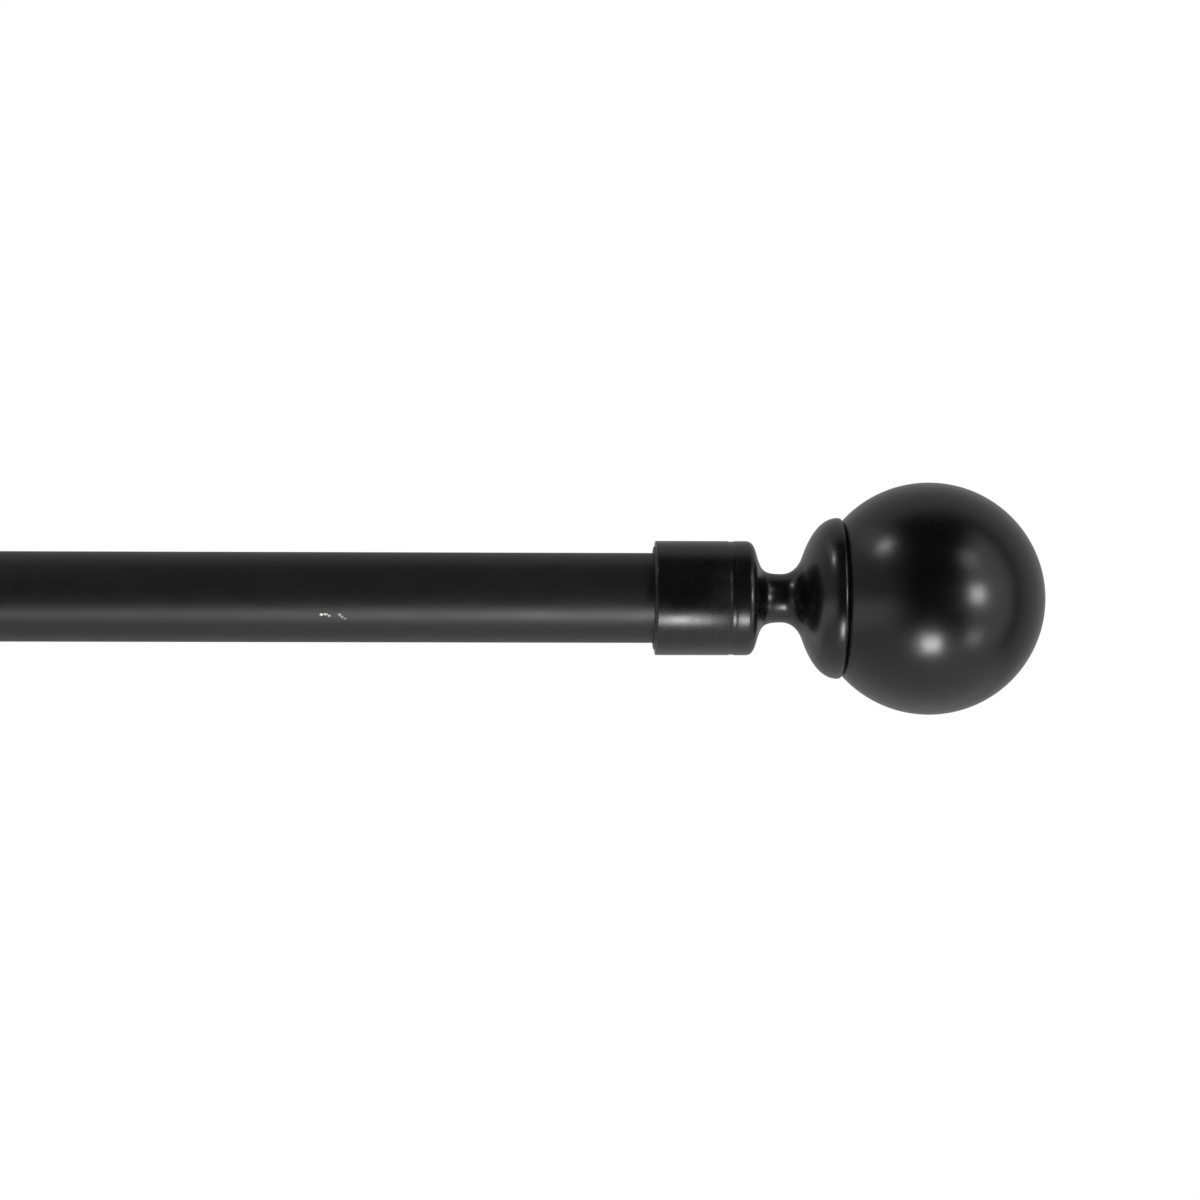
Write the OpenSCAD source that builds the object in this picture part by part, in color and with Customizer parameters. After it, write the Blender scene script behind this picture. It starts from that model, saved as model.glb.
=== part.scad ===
// Telescoping curtain rod on two adjustable wall brackets, with a ball finial at each end.
// The rod runs along X and the wall is the plane y = 0, with the room at y < 0 and +Z up.
// The origin is midway between the two wall plates, on the wall, level with the rod's axis.

/* [Rod] */
// Outside diameter of the outer tube
outer_tube_d = 28; // [22:0.5:34]
// Length of the outer tube
outer_tube_l = 725; // [600:5:870]
// Length of inner tube that shows between the outer tube and the right collar, as the rod is set
inner_show = 194.5; // [20:0.5:260]
// Wall of the outer tube
outer_wall = 0.7; // [0.5:0.05:1.2]
// Length of the inner tube
inner_tube_l = 600; // [500:5:720]
// Wall of the inner tube
inner_wall = 0.7; // [0.5:0.05:1.2]
// Radial space between the two tubes, which the guide ring and the glide fill
tube_gap = 0.8; // [0.6:0.05:1.2]
// Length of the guide ring inside the outer tube's mouth
guide_l = 14; // [8:1:24]
// Length of the part of the glide that runs in the outer tube
glide_l = 9; // [6:1:16]

/* [Finial collar] */
// Length of the collar, from its mouth to the foot of its shoulder
collar_l = 29.25; // [26:0.25:36]
// Length of the rounded shoulder at the collar's far end
shoulder_l = 4.15; // [3:0.05:6]
// Depth of the socket that takes the tube
socket_l = 20; // [14:0.5:22]
// Wall of the collar round the socket
collar_wall = 1.8; // [1.2:0.1:3]
// Thickness of the reducer sleeve's lip, in front of the collar's mouth
lip_l = 0.6; // [0.4:0.1:2]
// Width of the lip beyond the socket's wall
lip_seat = 0.35; // [0.2:0.05:0.8]
// Distance from the shallow turned groove to the start of the shoulder
groove_back = 5.1; // [3:0.1:6]

/* [Finial cup and ball] */
// Diameter of the neck between the collar and the cup
neck_d = 13.5; // [11:0.5:16]
// Distance from the foot of the collar's shoulder to the middle of the neck
neck_l = 5.85; // [5.6:0.05:14]
// Diameter of the cup's rim
cup_d = 44.8; // [37:0.2:54]
// Length of the flare, from the middle of the neck to the crown of the rim
flare_l = 15.6; // [13:0.2:19]
// Diameter of the ball
ball_d = 64.7; // [56:0.1:80]
// Wall of the hollow ball
ball_wall = 1.6; // [1:0.1:3]
// Diameter of the stud that holds the ball to the cup
stud_d = 6; // [5:0.5:7]

/* [Brackets] */
// Distance from the outer tube's mouth back to the middle of the right bracket
bracket_back = 45.5; // [20:0.5:80]
// Distance from the wall to the rod's axis, as the brackets are set
projection = 95; // [91:1:120]
// Diameter of the round wall plate
plate_d = 50; // [44:1:60]
// Thickness of the wall plate
plate_t = 3; // [2.5:0.1:4]
// Distance from the wall plate's edge to the middle of each of its two screws
screw_edge = 8; // [6.5:0.5:8.5]
// Diameter of the wall screw's threaded shank
screw_d = 4; // [3.5:0.5:4.5]
// Length of the wall screw behind the wall plate
screw_l = 36; // [25:1:50]
// Distance from the wall to the mouth of the fixed post
post_l = 50; // [42:1:51]
// Wall of the fixed post
post_wall = 2.92; // [2.5:0.02:4]
// Diameter of the sliding arm
arm_d = 10; // [8:0.5:12]
// Distance from the wall to the back end of the arm
arm_back = 19; // [18:0.5:22]

/* [Cradle] */
// Width of the cradle along the rod
cradle_w = 16; // [14:1:24]
// Wall of the cradle
cradle_wall = 3; // [2.5:0.1:4]
// Height of the cradle's upright walls above the rod's axis
cradle_lip = 8; // [7:0.5:12]
// Thickness of the soft liner under the rod
liner_t = 1; // [0.8:0.1:2]
// Diameter of the thumb screw's thread
thumb_d = 5; // [4:0.5:6]
// Diameter of the thumb screw's grip
grip_d = 15; // [12:0.5:20]
// Length of the thumb screw's grip
grip_l = 7; // [5:0.5:12]

/* [Wall covers] */
// Width of the cover's rim beyond the edge of the wall plate
cover_rim = 3.5; // [3:0.5:10]
// Wall of the cover
cover_wall = 1.4; // [1:0.1:2]

/* [Fits] */
// Radial clearance of a part that slides or turns in another
run_fit = 0.08; // [0.05:0.01:0.1]
// Radial clearance of a part that is fixed in another
seat_fit = 0.04; // [0.02:0.01:0.1]
// Space kept between the rod and what it rests on
rest_gap = 0.3; // [0.2:0.05:0.5]

/* [Hidden] */
$fn = 96;

// Colours of the finishes
satin_black = [0.13, 0.13, 0.135];
gloss_black = [0.09, 0.09, 0.095];
moulded_black = [0.17, 0.17, 0.17];
zinc_grey = [0.62, 0.62, 0.60];

// Tubes
outer_r = outer_tube_d / 2;
outer_bore_r = outer_r - outer_wall;
inner_r = outer_bore_r - tube_gap;
inner_bore_r = inner_r - inner_wall;
end_play = 0.5;
// The span between the two collars' mouths follows from the tube and the length that shows
rod_span = outer_tube_l - (socket_l - end_play) + inner_show;
outer_x0 = -rod_span / 2 - socket_l + end_play;
outer_x1 = outer_x0 + outer_tube_l;
inner_x1 = rod_span / 2 + socket_l - end_play;
inner_x0 = inner_x1 - inner_tube_l;

// Finial, along its own axis from the collar's mouth
socket_r = outer_r + run_fit;
collar_r = socket_r + collar_wall;
neck_r = neck_d / 2;
cup_r = cup_d / 2;
ball_r = ball_d / 2;
stud_r = stud_d / 2;
shoulder_s = collar_l - shoulder_l;
groove_s = shoulder_s - groove_back;
neck_s = collar_l + neck_l;
foot_r = neck_r + 1.6;
bend_s = neck_s + 0.375 * flare_l;
bend_r = neck_r + 0.253 * (cup_r - neck_r);
crown_s = neck_s + flare_l;
rim_s = crown_s + 1.15;
rim_r = cup_r - 0.75;
// The ball's seat ends at a narrow land on the rim, so the ball's centre follows from the two sizes
rim_land = 0.15;
seat_gap = 0.15;
ball_s = rim_s + sqrt(pow(ball_r + seat_gap, 2) - pow(rim_r - rim_land, 2));
stud_s0 = neck_s - 6;
stud_s1 = ball_s - ball_r + ball_wall + 9;
boss_l = 8;

// Grub screws
grub_r = 2;
grub_key_r = 1.1;
socket_screw_s = socket_l * 0.6;
post_screw_y = post_l - 6;

// Brackets
bracket_x = rod_span / 2 - inner_show - bracket_back;
arm_r = arm_d / 2;
post_bore_r = arm_r + run_fit;
post_r = post_bore_r + post_wall;
spigot_r = arm_r;
screw_r = screw_d / 2;
head_r = 2 * screw_r;
head_t = 2.4;
point_l = 5;
screw_gap = plate_d - 2 * screw_edge;

// Cradle, about the rod's axis
liner_r0 = outer_r + rest_gap;
liner_r1 = liner_r0 + liner_t;
cup_in_r = liner_r1 + seat_fit;
cup_out_r = cup_in_r + cradle_wall;
liner_span = 130;
back_boss_l = 10;
back_boss_r = arm_r + 3;
front_boss_l = 5;
thumb_r = thumb_d / 2;
front_boss_r = thumb_r + 3.5;
grip_r = grip_d / 2;
pad_l = 3;
pad_y = outer_r + rest_gap;
thumb_y0 = pad_y + pad_l;
thumb_y1 = cup_out_r + front_boss_l + 1;
cradle_screw_y = cup_out_r + back_boss_l / 2 + 1;

// A point on the cubic curve with end points p0, p3 and handles p1, p2
function curve_at(p0, p1, p2, p3, t) =
    pow(1 - t, 3) * p0 + 3 * pow(1 - t, 2) * t * p1 + 3 * (1 - t) * t * t * p2 + t * t * t * p3;

// A smooth stretch from p to q: it leaves at angle a with handle h, and arrives at angle b with handle k
function sweep(p, a, h, q, b, k, steps) = [for (i = [1:steps])
    curve_at(p, p + h * [cos(a), sin(a)], q - k * [cos(b), sin(b)], q, i / steps)];

// Outline of the finial's outer surface, as [distance from the mouth, radius]
function finial_outline() = let (
        shoulder = [shoulder_s, collar_r],
        drop = [collar_l - 0.22 * shoulder_l, foot_r + 2.7],
        foot = [collar_l, foot_r],
        neck = [neck_s, neck_r],
        bend = [bend_s, bend_r],
        crown = [crown_s, cup_r],
        rim = [rim_s, rim_r])
    concat([[0.3, collar_r], shoulder],
           sweep(shoulder, 0, 2.35, drop, -71, 2.4, 10),
           [foot],
           sweep(foot, -12, 1.8, neck, 0, 3.8, 10),
           sweep(neck, 0, 3.2, bend, 65, 1.7, 12),
           sweep(bend, 65, 1.3, crown, 0, 6.4, 16),
           sweep(crown, 0, 0.6, rim, -70, 0.4, 6));

// Stands a shape that was turned about Z along the rod, with its base at x and its top towards side
module along_rod(x, side) {
    translate([x, -projection, 0])
        rotate([0, 90 * side, 0])
            children();
}

// Puts a piece that was drawn at one bracket, with the wall at y = 0, at the left or right bracket
module at_bracket(side) {
    translate([side * bracket_x, 0, 0])
        children();
}

// Puts a piece that was drawn round the rod's axis at its bracket
module at_cradle(side) {
    translate([side * bracket_x, -projection, 0])
        children();
}

// A rod of radius r from y0 to y1, measured out from the wall or the rod towards the room
module outward(r, y0, y1) {
    translate([0, -y0, 0])
        rotate([90, 0, 0])
            cylinder(r = r, h = y1 - y0);
}

module tube(r_out, r_in, l) {
    difference() {
        cylinder(r = r_out, h = l);
        translate([0, 0, -1])
            cylinder(r = r_in, h = l + 2);
    }
}

// Grub screw with a hexagon socket in its outer end, along +Z
module grub(l) {
    key_depth = min(1.6, l - 0.6);
    difference() {
        union() {
            cylinder(r1 = grub_r - 0.5, r2 = grub_r, h = 0.5);
            translate([0, 0, 0.5])
                cylinder(r = grub_r, h = l - 0.5);
        }
        translate([0, 0, l - key_depth])
            cylinder(r = grub_key_r, h = key_depth + 1, $fn = 6);
    }
}

// ---- Wall plates, posts and their screws ----

module wall_plate(side) {
    color(satin_black) at_bracket(side)
        difference() {
            union() {
                outward(plate_d / 2, 0, plate_t - 0.6);
                translate([0, -(plate_t - 0.6), 0])
                    rotate([90, 0, 0])
                        cylinder(r1 = plate_d / 2, r2 = plate_d / 2 - 0.6, h = 0.6);
            }
            outward(spigot_r + seat_fit, -1, plate_t + 1);
            for (z = [-1, 1])
                translate([0, 0, z * screw_gap / 2])
                    outward(screw_r + 0.4, -1, plate_t + 1);
        }
}

// Round post with a solid spigot in the plate and a bore that the arm slides in
module post(side) {
    color(satin_black) at_bracket(side)
        difference() {
            union() {
                outward(spigot_r, 0, plate_t + 1);
                outward(post_r, plate_t, post_l);
            }
            outward(post_bore_r, plate_t + 0.4, post_l + 1);
            translate([0, -post_screw_y, -post_r - 1])
                cylinder(r = grub_r + seat_fit, h = post_r);
        }
}

// Two pan-head screws through one plate into the wall
module wall_screws(side) {
    color(zinc_grey) at_bracket(side)
        for (z = [-1, 1])
            translate([0, 0, z * screw_gap / 2])
                wall_screw();
}

module wall_screw() {
    difference() {
        union() {
            outward(screw_r + 0.2, 0, plate_t);
            outward(screw_r, -(screw_l - point_l), 0);
            translate([0, screw_l - point_l, 0])
                rotate([-90, 0, 0])
                    cylinder(r1 = screw_r, r2 = 0.3, h = point_l);
            outward(head_r, plate_t, plate_t + head_t - 0.8);
            translate([0, -(plate_t + head_t - 0.8), 0])
                rotate([90, 0, 0])
                    cylinder(r1 = head_r, r2 = head_r - 1, h = 0.8);
        }
        for (turn = [0, 90])
            translate([0, -(plate_t + head_t), 0])
                rotate([0, turn, 0])
                    cube([head_r * 1.2, 3, 0.9], center = true);
    }
}

module post_screw(side) {
    color(zinc_grey) at_bracket(side)
        translate([0, -post_screw_y, -arm_r - 0.35])
            rotate([180, 0, 0])
                grub(post_r - arm_r - 0.5);
}

// ---- Sliding covers ----

// Turned cover: it stands just off the wall, hides the plate and its screws, and runs on the post
module cover(side) {
    r = plate_d / 2 + cover_rim;
    hub_r = post_r + 3;
    top_h = plate_t + head_t + cover_wall + 2.8;
    hub_h = top_h + 2.8;
    inner_r = r - cover_wall;
    bore_r = post_r + run_fit;
    color(satin_black) at_bracket(side)
        rotate([90, 0, 0])
            rotate_extrude()
                polygon(concat(
                    [[inner_r, rest_gap], [r - 0.4, rest_gap], [r, rest_gap + 0.4]],
                    sweep([r, rest_gap + 2.6], 90, 2.2, [r - 5.5, top_h - 2.4], 150, 2.2, 6),
                    sweep([r - 5.5, top_h - 2.4], 150, 3, [hub_r + 1, top_h + 0.8], 180, 3, 6),
                    [[hub_r, top_h + 1.6], [hub_r, hub_h - 0.6], [hub_r - 0.6, hub_h],
                     [bore_r, hub_h], [bore_r, top_h - cover_wall + 0.4],
                     [r - 6.6, top_h - cover_wall - 2], [inner_r, rest_gap + 3]]));
}

// ---- Arms and cradles ----

module arm(side) {
    color(satin_black) at_bracket(side)
        outward(arm_r, arm_back, projection - cup_out_r - 1);
}

// Open-topped cradle for the outer tube, with a boss for the arm and one for the thumb screw
module cradle(side) {
    color(satin_black) at_cradle(side)
        difference() {
            union() {
                rotate([0, 90, 0])
                    cylinder(r = cup_out_r, h = cradle_w, center = true);
                translate([-cradle_w / 2, -cup_out_r, 0])
                    cube([cradle_w, 2 * cup_out_r, cradle_lip]);
                outward(back_boss_r, -cup_out_r - back_boss_l, -cup_in_r - 0.5);
                outward(front_boss_r, cup_in_r + 0.5, cup_out_r + front_boss_l);
            }
            rotate([0, 90, 0])
                cylinder(r = cup_in_r, h = cradle_w + 2, center = true);
            translate([-cradle_w / 2 - 1, -cup_in_r, 0])
                cube([cradle_w + 2, 2 * cup_in_r, cup_out_r + 1]);
            translate([-cradle_w / 2 - 1, -cup_out_r - 1, cradle_lip])
                cube([cradle_w + 2, 2 * cup_out_r + 2, cup_out_r]);
            outward(arm_r + seat_fit, -cup_out_r - back_boss_l - 1, -cup_out_r - 1 + seat_fit);
            outward(thumb_r + run_fit, 0, cup_out_r + front_boss_l + 1);
            translate([0, cradle_screw_y, -back_boss_r - 1])
                cylinder(r = grub_r + seat_fit, h = back_boss_r);
        }
}

module cradle_screw(side) {
    color(zinc_grey) at_cradle(side)
        translate([0, cradle_screw_y, -arm_r - 0.05])
            rotate([180, 0, 0])
                grub(back_boss_r - arm_r - 0.2);
}

// Soft liner in the bottom of the cradle, a sector of a ring along the rod
module liner(side) {
    color(moulded_black) at_cradle(side)
        translate([-cradle_w / 2 + 1, 0, 0])
            rotate([90, 0, 90])
                rotate([0, 0, -90 - liner_span / 2])
                    rotate_extrude(angle = liner_span)
                        translate([liner_r0, 0])
                            square([liner_t, cradle_w - 2]);
}

// Nylon pad on the thumb screw's nose, which bears on the rod
module pad(side) {
    color(moulded_black) at_cradle(side)
        difference() {
            outward(thumb_r, pad_y, thumb_y0);
            outward(thumb_r / 2 + run_fit, thumb_y0 - 2, thumb_y0 + 1);
        }
}

module thumb_screw(side) {
    flutes = 20;
    color(gloss_black) at_cradle(side)
        difference() {
            union() {
                outward(thumb_r / 2, thumb_y0 - 1.8, thumb_y0 + 1);
                outward(thumb_r, thumb_y0 + 0.05, thumb_y1 + 1);
                outward(grip_r - 0.8, thumb_y1, thumb_y1 + 0.8);
                outward(grip_r, thumb_y1 + 0.8, thumb_y1 + grip_l - 0.8);
                outward(grip_r - 0.8, thumb_y1 + grip_l - 0.8, thumb_y1 + grip_l);
            }
            for (i = [0:flutes - 1])
                rotate([0, i * 360 / flutes, 0])
                    translate([grip_r + 0.35, 0, 0])
                        outward(0.9, thumb_y1 - 1, thumb_y1 + grip_l + 1, $fn = 24);
        }
}

// ---- Tubes and what guides them ----

module outer_tube() {
    color(satin_black) along_rod(outer_x0, 1)
        tube(outer_r, outer_bore_r, outer_tube_l);
}

// Plastic ring in the outer tube's mouth, with a lip that covers the cut edge
module guide_ring() {
    lip = 1.6;
    color(moulded_black) along_rod(outer_x1 - guide_l, 1)
        difference() {
            union() {
                cylinder(r = outer_bore_r - seat_fit, h = guide_l + lip);
                translate([0, 0, guide_l])
                    cylinder(r = outer_r + 0.5, h = lip - 0.5);
                translate([0, 0, guide_l + lip - 0.5])
                    cylinder(r1 = outer_r + 0.5, r2 = outer_r, h = 0.5);
            }
            translate([0, 0, -1])
                cylinder(r = inner_r + run_fit, h = guide_l + lip + 2);
        }
}

module inner_tube() {
    color(satin_black) along_rod(inner_x0, 1)
        tube(inner_r, inner_bore_r, inner_tube_l);
}

// Plastic plug in the inner tube's hidden end, with a band that runs in the outer tube
module glide() {
    plug_l = 14;
    color(moulded_black) along_rod(inner_x0 - glide_l, 1)
        difference() {
            union() {
                cylinder(r = outer_bore_r - run_fit, h = glide_l);
                cylinder(r = inner_bore_r - seat_fit, h = glide_l + plug_l);
            }
            translate([0, 0, -1])
                cylinder(r = inner_bore_r - 2, h = glide_l + plug_l + 2);
        }
}

// ---- Finials ----

// Moves a finial piece, drawn along +Z from the collar's mouth, to its end of the rod
module at_end(side) {
    along_rod(side * rod_span / 2, side)
        children();
}

// Cast collar, neck and cup in one piece; the cup's inside is a seat for the ball
module socket(side) {
    outline = finial_outline();
    color(gloss_black) at_end(side)
        difference() {
            rotate_extrude()
                polygon(concat([[0, 0], [collar_r - 0.3, 0]],
                               [for (p = outline) [p[1], p[0]]],
                               [[0, rim_s]]));
            translate([0, 0, -1])
                cylinder(r = socket_r, h = socket_l + 1);
            translate([0, 0, ball_s])
                sphere(r = ball_r + seat_gap);
            cylinder(r = stud_r + seat_fit, h = rim_s);
            translate([0, 0, groove_s])
                tube(collar_r + 1, collar_r - 0.15, 2.2);
            translate([0, 0, socket_screw_s])
                rotate([-90, 0, 0])
                    cylinder(r = grub_r + seat_fit, h = collar_r + 1);
        }
}

// Spun hollow ball with a boss inside for the stud
module ball(side) {
    color(satin_black) at_end(side)
        translate([0, 0, ball_s])
            difference() {
                union() {
                    difference() {
                        sphere(r = ball_r);
                        sphere(r = ball_r - ball_wall);
                    }
                    translate([0, 0, -ball_r + ball_wall / 2])
                        cylinder(r = stud_r + 3, h = boss_l);
                }
                translate([0, 0, -ball_r - 1])
                    cylinder(r = stud_r + seat_fit, h = ball_wall + boss_l + 4);
            }
}

module ball_stud(side) {
    color(zinc_grey) at_end(side)
        translate([0, 0, stud_s0])
            cylinder(r = stud_r, h = stud_s1 - stud_s0);
}

// Grub screw through the back of the collar
module socket_screw(side) {
    hold_r = (side > 0 ? inner_r : outer_r) + 0.05;
    color(zinc_grey) at_end(side)
        translate([0, 0, socket_screw_s])
            rotate([-90, 0, 0])
                translate([0, 0, hold_r])
                    grub(collar_r - hold_r - 0.15);
}

// Plastic sleeve that fits the thinner inner tube to the collar, with a bevelled lip at the mouth
module sleeve(side) {
    lip_r = socket_r + lip_seat;
    color(moulded_black) at_end(side)
        difference() {
            rotate_extrude()
                polygon([[inner_r + run_fit, -lip_l], [lip_r - 0.25, -lip_l],
                         [lip_r, 0.25 - lip_l], [lip_r, 0], [socket_r - seat_fit, 0],
                         [socket_r - seat_fit, socket_l - end_play],
                         [inner_r + run_fit, socket_l - end_play]]);
            translate([0, 0, socket_screw_s])
                rotate([-90, 0, 0])
                    cylinder(r = grub_r + 0.2, h = collar_r);
        }
}

wall_plate(-1);  // left_wall_plate
post(-1);  // left_post
wall_screws(-1);  // left_wall_screws
post_screw(-1);  // left_post_screw
cover(-1);  // left_cover
arm(-1);  // left_arm
cradle(-1);  // left_cradle
cradle_screw(-1);  // left_cradle_screw
liner(-1);  // left_liner
pad(-1);  // left_pad
thumb_screw(-1);  // left_thumb_screw
wall_plate(1);  // right_wall_plate
post(1);  // right_post
wall_screws(1);  // right_wall_screws
post_screw(1);  // right_post_screw
cover(1);  // right_cover
arm(1);  // right_arm
cradle(1);  // right_cradle
cradle_screw(1);  // right_cradle_screw
liner(1);  // right_liner
pad(1);  // right_pad
thumb_screw(1);  // right_thumb_screw
outer_tube();
guide_ring();
inner_tube();
glide();
socket(-1);  // left_socket
ball(-1);  // left_ball
ball_stud(-1);  // left_ball_stud
socket_screw(-1);  // left_socket_screw
socket(1);  // right_socket
sleeve(1);  // right_sleeve
ball(1);  // right_ball
ball_stud(1);  // right_ball_stud
socket_screw(1);  // right_socket_screw
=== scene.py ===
# %% [markdown]
# # A curtain rod with brackets, built round its CAD frame
#
# The object is a telescoping steel rod with a cast socket and a hollow ball at each end. It
# lies in two open cradles, each on an arm that slides in a post on a round wall plate.
# The CAD model already holds every size and every joint, so this lesson only adds the looks.
# It starts by loading that model, and each new piece takes its place from a CAD node's box.

# %% Load the frame
import math

import bpy
from mathutils import Matrix, Vector


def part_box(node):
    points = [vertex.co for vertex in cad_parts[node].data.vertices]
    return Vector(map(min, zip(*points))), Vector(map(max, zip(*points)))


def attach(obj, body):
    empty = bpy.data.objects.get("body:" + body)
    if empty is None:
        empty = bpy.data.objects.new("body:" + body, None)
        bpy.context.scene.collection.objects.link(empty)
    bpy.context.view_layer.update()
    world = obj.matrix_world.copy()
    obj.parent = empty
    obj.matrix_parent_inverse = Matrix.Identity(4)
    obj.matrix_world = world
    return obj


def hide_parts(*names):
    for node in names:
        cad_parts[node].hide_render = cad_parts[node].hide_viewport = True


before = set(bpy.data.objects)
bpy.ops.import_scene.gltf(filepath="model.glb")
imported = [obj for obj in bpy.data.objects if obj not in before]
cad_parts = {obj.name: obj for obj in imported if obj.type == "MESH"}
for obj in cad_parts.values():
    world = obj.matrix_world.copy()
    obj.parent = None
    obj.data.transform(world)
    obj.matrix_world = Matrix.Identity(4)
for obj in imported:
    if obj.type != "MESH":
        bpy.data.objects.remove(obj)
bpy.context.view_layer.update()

MM = 0.001

# %% [markdown]
# ## Where things are
#
# The rod's axis, the wall plates and the two finials are found from the boxes of the nodes
# that lie there. The left side is the mirror image of the right side, apart from the thinner
# tube, so the right side is modelled and most of the left side is copied from it.

# %% Driving places, in metres
tube_lo, tube_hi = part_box("outer_tube")
inner_lo, inner_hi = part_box("inner_tube")
socket_lo, socket_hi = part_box("right_socket")
ball_lo, ball_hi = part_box("right_ball")
plate_lo, plate_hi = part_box("right_wall_plate")
cradle_lo, cradle_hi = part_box("right_cradle")
post_lo, post_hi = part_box("right_post")
arm_lo, arm_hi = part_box("right_arm")

AXIS_Y = (tube_lo.y + tube_hi.y) / 2
MOUTH_X = socket_lo.x
BRACKET_X = (plate_lo.x + plate_hi.x) / 2
OUTER_R = (tube_hi.z - tube_lo.z) / 2
INNER_R = (inner_hi.z - inner_lo.z) / 2
CUP_R = (socket_hi.z - socket_lo.z) / 2
BALL_R = (ball_hi.z - ball_lo.z) / 2
BALL_X = ball_hi.x - BALL_R
print("axis y %.4f, mouth x %.4f, bracket x %.4f" % (AXIS_Y, MOUTH_X, BRACKET_X))
print("radii: outer %.4f, inner %.4f, cup %.4f, ball %.4f" % (OUTER_R, INNER_R, CUP_R, BALL_R))

# %% [markdown]
# ## The camera
#
# A product shot of a finial is taken level with the rod, from a fair distance so that the
# ball stays round. The camera stands a little left of the collar and is turned a degree or
# two to the right, so the rims of the collar and the cup bow very slightly. A hair of roll
# lets the rod drop towards its end. It is made first, because the lamps are placed from it.

# %% Camera
CAMERA_DISTANCE = 0.833
CAMERA_LEFT_OF_MOUTH = 0.0403
CAMERA_DROP = 0.0006
CAMERA_TURN = math.radians(1.72)
CAMERA_ROLL = math.radians(0.14)
LENS_MM = 90.0

camera_data = bpy.data.cameras.new("camera")
camera_data.lens = LENS_MM
camera_data.sensor_width = 36.0
camera = bpy.data.objects.new("camera", camera_data)
bpy.context.scene.collection.objects.link(camera)
camera_place = Vector((MOUTH_X - CAMERA_LEFT_OF_MOUTH, AXIS_Y - CAMERA_DISTANCE, -CAMERA_DROP))
turn = (Matrix.Rotation(-CAMERA_TURN, 4, "Z") @ Matrix.Rotation(math.radians(90), 4, "X")
        @ Matrix.Rotation(CAMERA_ROLL, 4, "Z"))
camera.matrix_world = Matrix.Translation(camera_place) @ turn
bpy.context.scene.camera = camera
print("camera at", tuple(round(v, 4) for v in camera_place))

# %% [markdown]
# ## Small tools for modelling
#
# Operators act on whatever is selected, so every step begins by choosing one object. A
# finished piece is tidied in one way each time: its transform is applied, its doubles are
# merged, its faces point outwards and its edges are smoothed by angle.

# %% Choosing, measuring and finishing
def choose(obj, *others):
    if bpy.context.object and bpy.context.object.mode != "OBJECT":
        bpy.ops.object.mode_set(mode="OBJECT")
    bpy.ops.object.select_all(action="DESELECT")
    for item in (obj, *others):
        item.select_set(True)
    bpy.context.view_layer.objects.active = obj
    return obj


def pick(obj, kind, test):
    """Selects the vertices, edges or faces of obj that test accepts, from inside edit mode."""
    bpy.ops.mesh.select_all(action="DESELECT")
    bpy.ops.object.mode_set(mode="OBJECT")
    items = {"VERT": obj.data.vertices, "EDGE": obj.data.edges, "FACE": obj.data.polygons}[kind]
    chosen = [item for item in items if test(item)]
    for item in chosen:
        item.select = True
    bpy.ops.object.mode_set(mode="EDIT")
    bpy.ops.mesh.select_mode(type=kind)
    return len(chosen)


def modify(obj, kind, **settings):
    choose(obj)
    modifier = obj.modifiers.new(kind.title(), kind)
    for name, value in settings.items():
        setattr(modifier, name, value)
    bpy.ops.object.modifier_apply(modifier=modifier.name)


def bevel(obj, width_mm, segments=3, angle=35):
    modify(obj, "BEVEL", width=width_mm * MM, segments=segments, limit_method="ANGLE",
           angle_limit=math.radians(angle), harden_normals=False)


def finish_piece(obj, smooth=35):
    choose(obj)
    bpy.ops.object.transform_apply(location=True, rotation=True, scale=True)
    bpy.ops.object.mode_set(mode="EDIT")
    bpy.ops.mesh.select_all(action="SELECT")
    bpy.ops.mesh.remove_doubles(threshold=0.002 * MM)
    bpy.ops.mesh.normals_make_consistent(inside=False)
    bpy.ops.object.mode_set(mode="OBJECT")
    bpy.ops.object.shade_smooth_by_angle(angle=math.radians(smooth))
    print("%s: %d faces" % (obj.name, len(obj.data.polygons)))
    return obj


# %% [markdown]
# ## Turning a piece, as on a lathe
#
# Most of this object is round, so most of it is made in one way: a single vertex is extruded
# along the outline, and the closed outline is spun a full turn about the axis. Building the
# outline from listed points keeps the loops exactly where the shape changes.

# %% Lathe
def turned(name, outline, origin, direction, steps=128):
    """Spins a closed outline of (distance along the axis, radius) pairs about an axis."""
    axis = Vector(direction)
    side = Vector((0, 0, 1))
    points = [Vector(origin) + axis * along + side * radius for along, radius in outline]
    bpy.ops.object.select_all(action="DESELECT")
    bpy.ops.mesh.primitive_plane_add(size=1 * MM, location=points[0])
    obj = bpy.context.object
    obj.name = obj.data.name = name
    bpy.ops.object.mode_set(mode="EDIT")
    bpy.ops.mesh.select_all(action="SELECT")
    bpy.ops.mesh.merge(type="CENTER")
    for here, there in zip(points, points[1:]):
        bpy.ops.mesh.extrude_region_move(TRANSFORM_OT_translate={"value": there - here})
    last = len(points) - 1
    pick(obj, "VERT", lambda v: v.index in (0, last))
    bpy.ops.mesh.edge_face_add()
    bpy.ops.mesh.select_all(action="SELECT")
    bpy.ops.mesh.spin(steps=steps, angle=2 * math.pi, center=Vector(origin), axis=axis)
    bpy.ops.object.mode_set(mode="OBJECT")
    return finish_piece(obj)


def arc(centre, radius, start, end, steps):
    """Points on a circle in the outline's plane, from one angle to another, in degrees."""
    angles = [math.radians(start + (end - start) * i / steps) for i in range(steps + 1)]
    return [(centre[0] + radius * math.cos(a), centre[1] + radius * math.sin(a)) for a in angles]


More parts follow.
